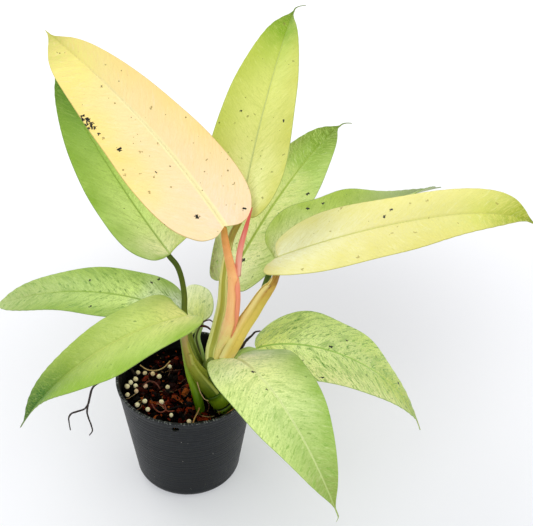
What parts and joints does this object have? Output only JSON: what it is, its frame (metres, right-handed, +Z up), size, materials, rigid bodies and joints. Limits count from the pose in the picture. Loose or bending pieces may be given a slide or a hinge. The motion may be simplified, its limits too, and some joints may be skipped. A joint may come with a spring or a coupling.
{
  "type": "potted whipple way philodendron",
  "caption": "Potted aroid house plant: a short stem with long pointed leaves on arching stalks, in a round tapered nursery pot of coarse husk mix.",
  "frame": {"origin": "centre of the pot's flat underside, on the surface it stands on", "axes": "+Z up, +X to the right in the picture, +Y away from the picture's camera, so -Y is the front"},
  "size_m": [0.36, 0.3028, 0.3092],
  "materials": {
    "pot": "dark charcoal moulded plastic, slightly satin, scuffed at the rim",
    "potting_mix": "damp dark red-brown coconut husk with cream fertiliser pellets",
    "stem": "satin green with brown ring scars",
    "root": "matt dark brown",
    "spike": "satin coral pink",
    "petiole_coral": "satin salmon orange",
    "petiole_tan": "satin tan and yellow-green",
    "petiole_olive": "satin olive green",
    "petiole_green": "satin bright green",
    "leaf_cream": "satin cream and peach",
    "leaf_yellow": "satin pale yellow",
    "leaf_lime": "satin yellow-green",
    "leaf_green": "satin mid green",
    "leaf_mint": "satin pale mint green with darker specks"
  },
  "bodies": {
    "root": {"pot": "pot", "potting_mix": "potting_mix", "stem": "stem", "leaf_spike": "spike", "root_back": "root", "root_left": "root", "root_right": "root", "blade_01": "leaf_cream", "blade_02": "leaf_green", "blade_03": "leaf_lime", "blade_04": "leaf_mint", "blade_05": "leaf_yellow", "blade_06": "leaf_green", "blade_07": "leaf_lime", "blade_08": "leaf_mint", "blade_09": "leaf_mint", "blade_10": "leaf_mint", "blade_11": "leaf_lime", "petiole_01": "petiole_coral", "petiole_02": "petiole_olive", "petiole_03": "petiole_olive", "petiole_04": "petiole_green", "petiole_05": "petiole_tan", "petiole_06": "petiole_olive", "petiole_07": "petiole_tan", "petiole_08": "petiole_green", "petiole_09": "petiole_green", "petiole_10": "petiole_green", "petiole_11": "petiole_green"}
  },
  "joints": []
}
